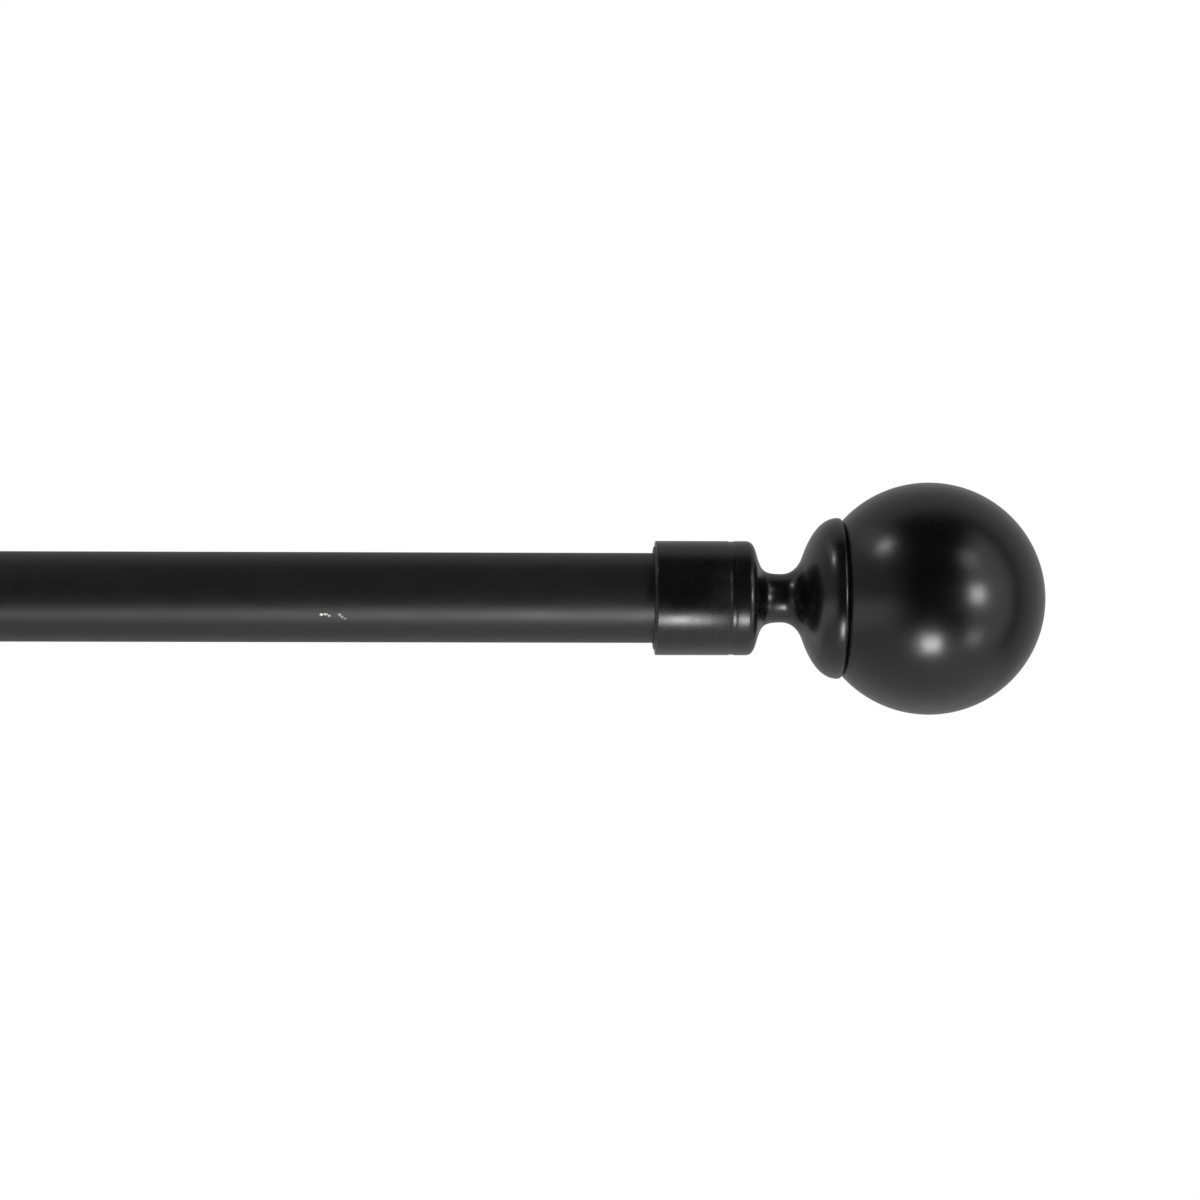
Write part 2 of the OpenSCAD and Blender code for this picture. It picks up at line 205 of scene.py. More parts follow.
def sweep(p, leave, h, q, arrive, k, steps):
    """A smooth stretch from p to q that leaves and arrives at given angles, handles h and k."""
    a, b = math.radians(leave), math.radians(arrive)
    p1 = (p[0] + h * math.cos(a), p[1] + h * math.sin(a))
    q1 = (q[0] - k * math.cos(b), q[1] - k * math.sin(b))
    found = []
    for i in range(1, steps + 1):
        t = i / steps
        found.append(tuple((1 - t) ** 3 * p[n] + 3 * (1 - t) ** 2 * t * p1[n]
                           + 3 * (1 - t) * t * t * q1[n] + t ** 3 * q[n] for n in (0, 1)))
    return found


def in_metres(outline_mm):
    return [(along * MM, radius * MM) for along, radius in outline_mm]


# %% [markdown]
# ## Copying and cutting
#
# A mirrored copy gives the left finial from the right one. Its faces are turned the right way
# again when it is finished. Holes and cross slots are cut with a Boolean, which is how they
# are made on the real pieces too: a drill or a punch goes through a finished blank.

# %% Copy, mirror, cut and join
def copied(obj, name, offset=(0, 0, 0), mirrored=False):
    twin = obj.copy()
    twin.data = obj.data.copy()
    twin.name = twin.data.name = name
    bpy.context.scene.collection.objects.link(twin)
    choose(twin)
    if mirrored:
        twin.scale = (-1, 1, 1)
    twin.location = Vector(offset)
    return finish_piece(twin)


def cut(obj, cutter, how="DIFFERENCE"):
    modify(obj, "BOOLEAN", object=cutter, operation=how, solver="EXACT")
    bpy.data.objects.remove(cutter)


def drill(radius, start, end, sides=32):
    """A round cutter between two points."""
    start, end = Vector(start), Vector(end)
    bpy.ops.mesh.primitive_cylinder_add(vertices=sides, radius=radius, depth=(end - start).length,
                                        location=(start + end) / 2)
    cutter = bpy.context.object
    cutter.rotation_mode = "QUATERNION"
    cutter.rotation_quaternion = (end - start).to_track_quat("Z", "Y")
    return cutter


def joined(name, first, *rest):
    choose(first, *rest)
    bpy.ops.object.join()
    first.name = first.data.name = name
    return first


# %% [markdown]
# ## Tools for materials
#
# One function turns a hex colour into the linear values that Blender works in, and one adds
# a node with its settings and links. Pattern sizes are given in millimetres on the object.

# %% Colour, nodes and a material's start
def linear(hex_colour):
    channels = [int(hex_colour[i:i + 2], 16) / 255 for i in (1, 3, 5)]
    return tuple(c / 12.92 if c <= 0.04045 else ((c + 0.055) / 1.055) ** 2.4
                 for c in channels) + (1.0,)


def add_node(tree, kind, links=None, **settings):
    """Adds a node; settings are properties or input values, links go from sockets to inputs."""
    node = tree.nodes.new(kind)
    for name, value in settings.items():
        if name.startswith("in_"):
            key = name[3:]
            node.inputs[int(key) if key.isdigit() else key.replace("_", " ")].default_value = value
        else:
            setattr(node, name, value)
    for key, socket in (links or {}).items():
        tree.links.new(socket, node.inputs[key])
    return node


def per_mm(size_mm):
    """Texture scale that repeats about every size_mm on an object measured in metres."""
    return 1 / (size_mm * MM)


def new_material(name, hex_colour, roughness, metallic=0.0, ior=None):
    material = bpy.data.materials.new(name)
    material.use_nodes = True
    tree = material.node_tree
    shader = tree.nodes["Principled BSDF"]
    shader.inputs["Base Color"].default_value = linear(hex_colour)
    shader.inputs["Roughness"].default_value = roughness
    shader.inputs["Metallic"].default_value = metallic
    if ior:
        shader.inputs["IOR"].default_value = ior
    material.diffuse_color = linear(hex_colour)
    place = add_node(tree, "ShaderNodeTexCoord").outputs["Object"]
    return material, tree, shader, place


def vary_roughness(tree, shader, place, size_mm, low, high):
    noise = add_node(tree, "ShaderNodeTexNoise", {"Vector": place},
                     in_Scale=per_mm(size_mm), in_Detail=4.0, in_Roughness=0.6)
    spread = add_node(tree, "ShaderNodeMapRange", {0: noise.outputs["Fac"]},
                      in_1=0.3, in_2=0.7, in_3=low, in_4=high)
    tree.links.new(spread.outputs[0], shader.inputs["Roughness"])
    return noise


def vary_colour(tree, shader, fac, dark_hex, light_hex):
    mix = add_node(tree, "ShaderNodeMix", {0: fac}, data_type="RGBA",
                   in_6=linear(dark_hex), in_7=linear(light_hex))
    tree.links.new(mix.outputs[2], shader.inputs["Base Color"])
    return mix


def bump_from(tree, shader, height, depth_mm, strength=1.0, under=None):
    links = {"Height": height}
    if under:
        links["Normal"] = under
    bump = add_node(tree, "ShaderNodeBump", links, in_Strength=strength, in_Distance=depth_mm * MM)
    tree.links.new(bump.outputs["Normal"], shader.inputs["Normal"])
    return bump.outputs["Normal"]


# %% [markdown]
# ## Satin black powder coat
#
# The tubes, the ball and the brackets are powder coated: dry paint powder is baked on steel.
# It flows into a soft film with a very fine orange peel, so reflections are blurred into broad
# bands. Base colour is nearly black, IOR is that of a polyester film, and roughness is just
# under a half. The peel is a shallow bump about half a millimetre across. The ball has a
# blacker and smoother coat, which mirrors a lamp as a soft round spot.

# %% Powder coat
def powder_coat(name, hex_dark, hex_light, roughness, peel_mm=0.55, peel_depth_mm=0.004):
    material, tree, shader, place = new_material(name, hex_dark, roughness, ior=1.5)
    film = vary_roughness(tree, shader, place, 9.0, roughness - 0.03, roughness + 0.03)
    vary_colour(tree, shader, film.outputs["Fac"], hex_dark, hex_light)
    peel = add_node(tree, "ShaderNodeTexNoise", {"Vector": place},
                    in_Scale=per_mm(peel_mm), in_Detail=2.0, in_Roughness=0.5)
    bump_from(tree, shader, peel.outputs["Fac"], peel_depth_mm)
    return material, tree, shader, place


satin_black = powder_coat("satin_black_powder_coat", "#0c0c0d", "#101011", 0.42)[0]
ball_black = powder_coat("satin_black_ball_lacquer", "#030303", "#070707", 0.26, 0.7, 0.003)[0]
print("made", satin_black.name, "and", ball_black.name)

# %% [markdown]
# ## A painted glint on the thin tube
#
# The thin tube carries a painted glint: near-white flecks painted into its colour on the low
# highlight band, three bright ones in a row and three fainter ones further on. Each fleck is a
# stretched spherical gradient that stands on the surface, and noise breaks its edge.

# %% Thin tube with a painted glint
# The painted glint sits this far along the thin tube, on its low highlight band.
GLINT_X = MOUTH_X - 0.0918

# Each glint fleck: place along the tube, angle up from the front, half length, half width (mm),
# strength.
GLINT_FLECKS = [(0.0, -22.5, 0.6, 0.5, 1.0), (1.1, -22.0, 0.9, 0.4, 0.75), (2.1, -24.0, 0.5, 0.45, 0.6),
          (5.0, -22.5, 0.55, 0.5, 0.45), (5.6, -25.5, 0.6, 0.5, 0.35), (6.4, -28.0, 0.6, 0.45, 0.25)]


def tube_with_painted_glint():
    material, tree, shader, place = powder_coat("satin_black_painted_glint", "#0c0c0d", "#101011", 0.44)
    old = shader.inputs["Base Color"].links[0].from_socket
    glint_breakup = add_node(tree, "ShaderNodeTexNoise", {"Vector": place},
                      in_Scale=per_mm(0.6), in_Detail=3.0)
    glint_mask = None
    for along_mm, angle, half_length, half_width, strength in GLINT_FLECKS:
        a = math.radians(angle)
        centre = (GLINT_X + along_mm * MM, AXIS_Y - INNER_R * math.cos(a), INNER_R * math.sin(a))
        stretch = add_node(tree, "ShaderNodeMapping", {"Vector": place}, vector_type="TEXTURE")
        stretch.inputs["Location"].default_value = centre
        stretch.inputs["Scale"].default_value = (half_length * MM, half_width * MM, half_width * MM)
        ball = add_node(tree, "ShaderNodeTexGradient", {"Vector": stretch.outputs[0]},
                        gradient_type="SPHERICAL")
        broken = add_node(tree, "ShaderNodeMath", {0: ball.outputs["Fac"], 1: glint_breakup.outputs["Fac"]},
                          operation="MULTIPLY")
        edge = add_node(tree, "ShaderNodeMapRange", {0: broken.outputs[0]},
                        in_1=0.05, in_2=0.25, in_3=0.0, in_4=strength)
        if glint_mask is None:
            glint_mask = edge.outputs[0]
        else:
            glint_mask = add_node(tree, "ShaderNodeMath", {0: glint_mask, 1: edge.outputs[0]},
                             operation="MAXIMUM").outputs[0]
    # The near-white painted glint is mixed into the coat's colour where the flecks lie.
    mix = add_node(tree, "ShaderNodeMix", {0: glint_mask, 6: old}, data_type="RGBA",
                   in_7=linear("#f2f0ec"))
    tree.links.new(mix.outputs[2], shader.inputs["Base Color"])
    return material


# The thin tube's coat, with the painted glint in its colour.
tube_black_painted_glint = tube_with_painted_glint()
print("made", tube_black_painted_glint.name)

# %% [markdown]
# ## Black enamel on the castings
#
# The sockets and thumb screws are zinc castings under a baked enamel that is glossier than
# the tubes' coat. Under the paint there are faint rings left by the turning of the pattern,
# and a slight unevenness that makes a highlight waver. Both are bumps a few microns deep.

# %% Enamel
WAVE_RADIANS = 20    # a wave texture runs through this many radians in one unit at scale 1


def enamel(name, hex_colour, roughness, ring_mm=3.61886):
    material, tree, shader, place = new_material(name, hex_colour, roughness, ior=1.52)
    film = vary_roughness(tree, shader, place, 6.0, roughness - 0.04, roughness + 0.04)
    vary_colour(tree, shader, film.outputs["Fac"], hex_colour, "#0a0a0b")
    wobble = add_node(tree, "ShaderNodeTexNoise", {"Vector": place},
                      in_Scale=per_mm(2.2), in_Detail=2.0)
    under = bump_from(tree, shader, wobble.outputs["Fac"], 0.012)
    rings = add_node(tree, "ShaderNodeTexWave", {"Vector": place}, wave_type="BANDS",
                     bands_direction="X", in_Scale=per_mm(ring_mm) * 2 * math.pi / WAVE_RADIANS,
                     in_Distortion=0.6, in_Detail=1.0)
    bump_from(tree, shader, rings.outputs["Fac"], 0.004, under=under)
    return material


casting_black = enamel("black_enamel_on_casting", "#050505", 0.27)
print("made", casting_black.name)

# %% [markdown]
# ## Moulded plastic, nylon and zinc plate
#
# The sleeve, the guide ring and the glide are moulded in black plastic with a fine spark-eroded
# grain. The liners are a softer, duller grade, and the pads are black nylon. The wall screws
# and ball studs are zinc plated steel: a thin bright metal skin with cloudy patches, so it is
# metallic and its roughness varies. Grub screws are left as blackened steel.

# %% Plastics and plated steel
def moulded(name, hex_dark, hex_light, roughness, grain_mm):
    material, tree, shader, place = new_material(name, hex_dark, roughness, ior=1.49)
    cloud = vary_roughness(tree, shader, place, 4.0, roughness - 0.05, roughness + 0.05)
    vary_colour(tree, shader, cloud.outputs["Fac"], hex_dark, hex_light)
    grain = add_node(tree, "ShaderNodeTexVoronoi", {"Vector": place}, in_Scale=per_mm(grain_mm))
    bump_from(tree, shader, grain.outputs["Distance"], 0.02)
    return material


def plated(name, hex_dark, hex_light, low, high, cloud_mm):
    material, tree, shader, place = new_material(name, hex_light, low, metallic=1.0)
    cloud = vary_roughness(tree, shader, place, cloud_mm, low, high)
    vary_colour(tree, shader, cloud.outputs["Fac"], hex_dark, hex_light)
    lines = add_node(tree, "ShaderNodeTexNoise", {"Vector": place},
                     in_Scale=per_mm(0.4), in_Detail=2.0)
    bump_from(tree, shader, lines.outputs["Fac"], 0.004)
    return material


sleeve_plastic = moulded("moulded_black_plastic", "#1a1a1a", "#202020", 0.42, 0.35)
soft_plastic = moulded("dull_black_liner_plastic", "#1c1c1b", "#242423", 0.68, 0.3)
nylon = moulded("black_nylon", "#202020", "#272727", 0.5, 0.3)
zinc = plated("zinc_plated_steel", "#a9aaa6", "#c9cac8", 0.24, 0.42, 2.5)
black_oxide = plated("blackened_steel", "#26262a", "#36363a", 0.34, 0.5, 1.5)
print("materials so far:", len(bpy.data.materials))


# %% [markdown]
# ## Handing a piece over
#
# Every piece takes its finish, rides on the body that carries it, and hides the CAD node
# that it stands for.

# %% Hand a piece over
def hand_over(obj, body, node, material):
    obj.data.materials.clear()
    obj.data.materials.append(material)
    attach(obj, body)
    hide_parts(node)


# %% [markdown]
# ## The two tubes
#
# Each tube is cut from welded steel tube and coated. Two plain cylinders would do from afar,
# but a cut end shows the wall, so each tube is turned as a thin closed section with a small
# chamfer on all four edges. It could also be a circle extruded and given a Solidify.

# %% Tubes
def tube_outline(length, radius, wall, chamfer=0.15 * MM):
    bore = radius - wall
    return [(0, bore + chamfer), (0, radius - chamfer), (chamfer, radius),
            (length * 0.5, radius), (length - chamfer, radius), (length, radius - chamfer),
            (length, bore + chamfer), (length - chamfer, bore), (length * 0.5, bore),
             (chamfer, bore)]


TUBE_WALL = 0.7 * MM
ALONG_ROD = (1, 0, 0)


def axis_at(x):
    return (x, AXIS_Y, 0.0)


inner = turned("inner_tube_coated", tube_outline(inner_hi.x - inner_lo.x, INNER_R, TUBE_WALL),
               axis_at(inner_lo.x), ALONG_ROD, 160)
outer = turned("outer_tube_coated", tube_outline(tube_hi.x - tube_lo.x, OUTER_R, TUBE_WALL),
               axis_at(tube_lo.x), ALONG_ROD, 160)
hand_over(inner, "inner_rod", "inner_tube", tube_black_painted_glint)
hand_over(outer, "rod", "outer_tube", satin_black)

# %% [markdown]
# ## The sockets
#
# A socket is one casting: a collar round the tube, a rounded shoulder, a thin neck and a cup
# that holds the ball. Its outline is a chain of smooth sweeps through the points where the
# shape changes, and it goes on inside as the ball's seat, the stud's hole and the bore for
# the tube, so the piece is as hollow as the real one. A shallow ring is turned in the collar.

# %% Socket outline
# Names that end in _S are places along the rod, and those in _R are radii, in millimetres.
cup_mm = CUP_R / MM
ball_mm = BALL_R / MM
ball_s = (BALL_X - MOUTH_X) / MM
COLLAR_R = 15.88
GROOVE_S, GROOVE_W, GROOVE_D = 20.0, 2.2, 0.15
SHOULDER_S = 25.1
NECK_S, NECK_R = 35.1, 6.75
DROP = (28.45, NECK_R + 4.3)    # half way down from the shoulder to the neck
BEND = (40.7, 10.75)            # half way up from the neck to the cup
CROWN_S = 50.7
RIM = (CROWN_S + 1.15, cup_mm - 0.75)
BORE_L, BORE_R = 20.0, 14.08
STUD_HOLE_R = 3.04
SEAT_GAP = 0.15


def socket_outline():
    shoulder, neck, crown = (SHOULDER_S, COLLAR_R), (NECK_S, NECK_R), (CROWN_S, cup_mm)
    across = [i / 12 for i in range(13)]
    outer_side = arc((0.3, COLLAR_R - 0.3), 0.3, 180, 90, 5)
    outer_side += [(GROOVE_S + GROOVE_W * t, COLLAR_R - GROOVE_D * 4 * t * (1 - t)) for t in across]
    outer_side += [shoulder]
    outer_side += sweep(shoulder, 0, 2.35, DROP, -71, 2.4, 20)
    outer_side += sweep(DROP, -71, 3.6, neck, 0, 4.8, 32)
    outer_side += sweep(neck, 0, 3.2, BEND, 65, 1.7, 20)
    outer_side += sweep(BEND, 65, 1.9, crown, 0, 6.4, 32)
    outer_side += sweep(crown, 0, 0.6, RIM, -70, 0.4, 10)
    seat_r = ball_mm + SEAT_GAP
    first = math.degrees(math.atan2(RIM[1] - 0.12, RIM[0] - ball_s))
    last = math.degrees(math.pi - math.asin(STUD_HOLE_R / seat_r))
    seat = arc((ball_s, 0), seat_r, first, last, 24)
    web = [(BORE_L + 0.3, STUD_HOLE_R), (BORE_L, STUD_HOLE_R + 0.3), (BORE_L, BORE_R),
           (0.3, BORE_R)]
    return outer_side + seat + web + [(0, BORE_R + 0.3)]


right_socket = turned("right_socket_casting", in_metres(socket_outline()),
                      axis_at(MOUTH_X), ALONG_ROD, 160)

# %% [markdown]
# The grub screw that grips the tube goes in from the back, where nobody sees it. Its hole is
# drilled through the collar, and the finished casting is mirrored for the left end.

# %% Grub hole and the left socket
SOCKET_GRUB_R, SLEEVE_HOLE_R = 2.06 * MM, 2.2 * MM
screw_lo, screw_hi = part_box("right_socket_screw")
grub_x = (screw_lo.x + screw_hi.x) / 2
drill_from = (grub_x, AXIS_Y + 10 * MM, 0)
drill_to = (grub_x, AXIS_Y + 18 * MM, 0)
cut(right_socket, drill(SOCKET_GRUB_R, drill_from, drill_to))
finish_piece(right_socket)
left_socket = copied(right_socket, "left_socket_casting", mirrored=True)
hand_over(right_socket, "right_finial", "right_socket", casting_black)
hand_over(left_socket, "left_finial", "left_socket", casting_black)

# %% [markdown]
# ## The balls
#
# Each ball is spun from sheet steel, so it is a thin shell with a threaded boss inside for
# the stud. A sphere primitive would look the same from outside until the finial is pulled
# apart, so the ball is turned as a shell: outer arc, inner arc, and the boss round its hole.

# %% Ball
BALL_WALL = 1.6
BOSS_R, BOSS_L = 6.0, 8.0


def ball_outline():
    hole = math.degrees(math.asin(STUD_HOLE_R / ball_mm))
    outer_arc = arc((0, 0), ball_mm, 180 - hole, 0, 72)
    inner_r = ball_mm - BALL_WALL
    boss_angle = math.degrees(math.asin(BOSS_R / inner_r))
    inner_arc = arc((0, 0), inner_r, 0, 180 - boss_angle, 40)
    boss_face = -ball_mm + BALL_WALL / 2 + BOSS_L
    return outer_arc + inner_arc + [(boss_face, BOSS_R), (boss_face, STUD_HOLE_R)]


right_ball = turned("right_ball_spun", in_metres(ball_outline()), axis_at(BALL_X), ALONG_ROD, 144)
left_ball = copied(right_ball, "left_ball_spun", mirrored=True)
hand_over(right_ball, "right_finial", "right_ball", ball_black)
hand_over(left_ball, "left_finial", "left_ball", ball_black)

# %% [markdown]
# ## The reducer sleeve and the guide ring
#
# Both are small plastic rings. The sleeve fits the thin tube to a collar that is made for the
# thick one, and its thin lip is all that shows, at the collar's mouth. The guide ring closes
# the thick tube's cut end and steadies the thin tube. Each lip has soft edges.

# %% Sleeve and guide ring
inner_mm, outer_mm = INNER_R / MM, OUTER_R / MM
LIP_L, LIP_R = 0.5, 14.43
PLASTIC_FIT = 0.04
sleeve_l = (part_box("right_sleeve")[1].x - MOUTH_X) / MM
bore_mm = inner_mm + 0.08
sleeve_line = ([(-LIP_L + 0.1, bore_mm), (-LIP_L, bore_mm + 0.1)]
               + sweep((-LIP_L, LIP_R - 0.5), 85, 0.2, (-0.1, LIP_R), 20, 0.3, 8)
               + [(0, LIP_R), (0, BORE_R - PLASTIC_FIT), (sleeve_l, BORE_R - PLASTIC_FIT),
                  (sleeve_l, bore_mm)])
sleeve = turned("right_sleeve_moulded", in_metres(sleeve_line), axis_at(MOUTH_X), ALONG_ROD, 128)
cut(sleeve, drill(SLEEVE_HOLE_R, drill_from, drill_to))
finish_piece(sleeve)
hand_over(sleeve, "right_finial", "right_sleeve", sleeve_plastic)

ring_lo, ring_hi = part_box("guide_ring")
ring_l = (ring_hi.x - ring_lo.x) / MM
RING_LIP_L, RING_LIP_OUT, RING_ROUND = 1.6, 0.5, 0.6
seat_l = ring_l - RING_LIP_L
seat_r = outer_mm - TUBE_WALL / MM - PLASTIC_FIT
lip_r = outer_mm + RING_LIP_OUT
ring_line = ([(0, bore_mm), (0, seat_r), (seat_l, seat_r), (seat_l, lip_r)]
             + arc((ring_l - RING_ROUND, lip_r - RING_ROUND), RING_ROUND, 90, 0, 6)
             + [(ring_l, bore_mm + 0.2), (ring_l - 0.2, bore_mm)])
guide = turned("guide_ring_moulded", in_metres(ring_line), axis_at(ring_lo.x), ALONG_ROD, 128)
hand_over(guide, "rod", "guide_ring", sleeve_plastic)

# %% [markdown]
# ## The wall covers
#
# A cover is a spun steel dome with a hub that slides along the post and hides the plate and its
# screws. It is turned from one outline: a rolled rim, a low step, a shallow dome
# that sweeps up into the hub, and the same shape again inside at a constant wall.

# %% Cover
cover_lo, cover_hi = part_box("right_cover")
cover_mm = (cover_hi.x - cover_lo.x) / 2 / MM
post_mm = (post_hi.x - post_lo.x) / 2 / MM
STAND_OFF = 0.3
RIM_ROUND = 0.5
HUB_H = -cover_lo.y / MM
HUB_R = post_mm + 3.0
TOP_H = 9.6
FROM_WALL = (0, -1, 0)
bracket_foot = (BRACKET_X, 0, 0)
to_left_side = (-2 * BRACKET_X, 0, 0)


def cover_outline():
    r = cover_mm
    step, brow, hub_root = (2.9, r - 1.1), (TOP_H - 2.4, r - 5.5), (TOP_H + 0.8, HUB_R + 1)
    outside = [(STAND_OFF, r - 1.4)]
    outside += arc((STAND_OFF + RIM_ROUND, r - RIM_ROUND), RIM_ROUND, 180, 90, 5)
    outside += arc((2.4, r - RIM_ROUND), RIM_ROUND, 90, 0, 5)
    outside += [step]
    outside += sweep(step, 20, 1.6, brow, -62, 2.2, 12)
    outside += sweep(brow, -62, 3.0, hub_root, -88, 3.0, 14)
    outside += sweep(hub_root, -80, 0.5, (TOP_H + 1.9, HUB_R), 0, 0.6, 6)
    outside += arc((HUB_H - 0.7, HUB_R - 0.7), 0.7, 90, 0, 6)
    bore = post_mm + 0.08
    inside = [(HUB_H, bore + 0.3), (HUB_H - 0.3, bore), (TOP_H - 1.0, bore),
              (TOP_H - 3.4, r - 6.6), (STAND_OFF + 3, r - 1.4)]
    return outside + inside


right_cover = turned("right_cover_spun", in_metres(cover_outline()), bracket_foot, FROM_WALL, 128)
left_cover = copied(right_cover, "left_cover_spun", offset=to_left_side)
hand_over(right_cover, "right_cover", "right_cover", satin_black)
hand_over(left_cover, "left_cover", "left_cover", satin_black)

# %% [markdown]
# ## Posts, arms and wall plates
#
# The post is a turned steel sleeve riveted to the plate, and the arm is a bright-drawn bar
# that slides in it, both coated. Their edges are broken with small chamfers, as a lathe leaves
# them. The plate is a blanked disc with two screw holes.

# %% Post, arm and plate
post_l = -post_lo.y / MM
plate_t = -plate_lo.y / MM
arm_mm = (arm_hi.x - arm_lo.x) / 2 / MM
ARM_FIT = 0.08
GRUB_HOLE_R = 2.05 * MM
GRUB_FROM_Z, GRUB_TO_Z = -4.5 * MM, -12 * MM
post_line = [(0, 0.5), (0, arm_mm), (plate_t, arm_mm), (plate_t, post_mm),
             (post_l - 0.8, post_mm), (post_l - 0.25, post_mm - 0.2), (post_l, post_mm - 0.7),
             (post_l, arm_mm + ARM_FIT + 0.5), (post_l - 0.4, arm_mm + ARM_FIT),
             (plate_t + 0.4, arm_mm + ARM_FIT), (plate_t + 0.4, 0.5)]
right_post = turned("right_post_turned", in_metres(post_line), bracket_foot, FROM_WALL, 96)
grub_lo, grub_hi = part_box("right_post_screw")
grub_y = (grub_lo.y + grub_hi.y) / 2
cut(right_post, drill(GRUB_HOLE_R, (BRACKET_X, grub_y, GRUB_FROM_Z),
                      (BRACKET_X, grub_y, GRUB_TO_Z)))
finish_piece(right_post)
left_post = copied(right_post, "left_post_turned", offset=to_left_side)
hand_over(right_post, "wall_mounts", "right_post", satin_black)
hand_over(left_post, "wall_mounts", "left_post", satin_black)

arm_l = (arm_hi.y - arm_lo.y) / MM
arm_line = [(0, 0.3), (0, arm_mm - 0.6), (0.6, arm_mm), (arm_l - 0.6, arm_mm),
            (arm_l, arm_mm - 0.6), (arm_l, 0.3)]
right_arm = turned("right_arm_bar", in_metres(arm_line), (BRACKET_X, arm_hi.y, 0), FROM_WALL, 96)
left_arm = copied(right_arm, "left_arm_bar", offset=to_left_side)
hand_over(right_arm, "right_arm", "right_arm", satin_black)
hand_over(left_arm, "left_arm", "left_arm", satin_black)

screws_lo, screws_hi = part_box("right_wall_screws")
SCREW_R, HEAD_R, HEAD_T = 2.0, 4.0, 2.4
screw_z = (screws_hi.z - screws_lo.z) / 2 - HEAD_R * MM
plate_mm = (plate_hi.x - plate_lo.x) / 2 / MM
plate_line = [(0, arm_mm + 0.04), (0, plate_mm - 0.3), (0.3, plate_mm), (plate_t - 0.6, plate_mm),
              (plate_t - 0.2, plate_mm - 0.2), (plate_t, plate_mm - 0.7), (plate_t, arm_mm + 0.04)]
right_plate = turned("right_wall_plate_blank", in_metres(plate_line), bracket_foot, FROM_WALL, 128)
for z in (-screw_z, screw_z):
    cut(right_plate, drill((SCREW_R + 0.4) * MM, (BRACKET_X, 0.002, z), (BRACKET_X, -0.005, z)))
finish_piece(right_plate)
left_plate = copied(right_plate, "left_wall_plate_blank", offset=to_left_side)
hand_over(right_plate, "wall_mounts", "right_wall_plate", satin_black)
hand_over(left_plate, "wall_mounts", "left_wall_plate", satin_black)

# %% [markdown]
# ## The cradles
#
# A cradle is a small casting: an open-topped cup for the rod, a boss behind for the arm and
# one in front for the thumb screw. Half a ring of faces is drawn as the cup's section and
# extruded across its width. The bosses are joined to it, the holes are cut, and a bevel
# rounds every edge a little, as a casting's edges are.

# %% Cradle
cradle_w = cradle_hi.x - cradle_lo.x
cradle_top = cradle_hi.z
CRADLE_WALL = 3.0 * MM
CUP_IN = OUTER_R + 1.34 * MM
CUP_OUT = CUP_IN + CRADLE_WALL
FRONT_BOSS_R, BACK_BOSS_R = 6.0 * MM, 8.0 * MM
THUMB_R = 2.5 * MM
front_boss_y = cradle_lo.y - AXIS_Y
back_boss_y = cradle_hi.y - AXIS_Y


def section_point(radius, angle):
    a = math.radians(angle)
    return (radius * math.cos(a), radius * math.sin(a))


def cradle_section():
    """The cup's section as (y, z) pairs about the rod's axis, from the back lip to the front."""
    inside = [section_point(CUP_IN, a) for a in range(0, -181, -6)]
    outside = [section_point(CUP_OUT, a) for a in range(-180, 1, 6)]
    return ([(CUP_IN, cradle_top)] + inside + [(-CUP_IN, cradle_top), (-CUP_OUT, cradle_top)]
            + outside + [(CUP_OUT, cradle_top)])


def middle(y):
    """A point on the bracket's own axis, at a distance y behind the rod's axis."""
    return (BRACKET_X, AXIS_Y + y, 0)


def make_cradle():
    points = [Vector((cradle_lo.x, AXIS_Y + y, z)) for y, z in cradle_section()]
    bpy.ops.object.select_all(action="DESELECT")
    bpy.ops.mesh.primitive_plane_add(size=1 * MM, location=points[0])
    obj = bpy.context.object
    obj.name = obj.data.name = "right_cradle_casting"
    bpy.ops.object.mode_set(mode="EDIT")
    bpy.ops.mesh.select_all(action="SELECT")
    bpy.ops.mesh.merge(type="CENTER")
    for here, there in zip(points, points[1:]):
        bpy.ops.mesh.extrude_region_move(TRANSFORM_OT_translate={"value": there - here})
    bpy.ops.mesh.select_all(action="SELECT")
    bpy.ops.mesh.edge_face_add()
    bpy.ops.mesh.extrude_region_move(TRANSFORM_OT_translate={"value": (cradle_w, 0, 0)})
    bpy.ops.object.mode_set(mode="OBJECT")
    finish_piece(obj)
    cut(obj, drill(BACK_BOSS_R, middle(CUP_IN + 0.5 * MM), middle(back_boss_y), 64), "UNION")
    cut(obj, drill(FRONT_BOSS_R, middle(-CUP_IN - 0.5 * MM), middle(front_boss_y), 64), "UNION")
    bevel(obj, 0.5, 3, 50)
    arm_hole_r, thumb_hole_r = (arm_mm + 0.04) * MM, THUMB_R + 0.08 * MM
    cut(obj, drill(arm_hole_r, middle(CUP_OUT + 0.96 * MM), middle(back_boss_y + MM), 64))
    cut(obj, drill(thumb_hole_r, middle(-CUP_IN + 2 * MM), middle(front_boss_y - MM), 64))
    grub_lo, grub_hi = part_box("right_cradle_screw")
    y = (grub_lo.y + grub_hi.y) / 2
    cut(obj, drill(GRUB_HOLE_R, (BRACKET_X, y, GRUB_FROM_Z), (BRACKET_X, y, GRUB_TO_Z)))
    return finish_piece(obj, 30)


right_cradle = make_cradle()
left_cradle = copied(right_cradle, "left_cradle_casting", offset=to_left_side)
hand_over(right_cradle, "right_arm", "right_cradle", satin_black)
hand_over(left_cradle, "left_arm", "left_cradle", satin_black)

# %% [markdown]
# ## The thumb screws
#
# A thumb screw has a fluted grip that fingers can turn and a threaded shank. The grip starts
# as a filled circle of sixty points. Every third one is pulled in to make a flute, the
# face is extruded to the grip's length, a round dish is cut in its front, and a bevel softens
# it. The shank's thread is turned as a row of ridges, which is enough at this size.

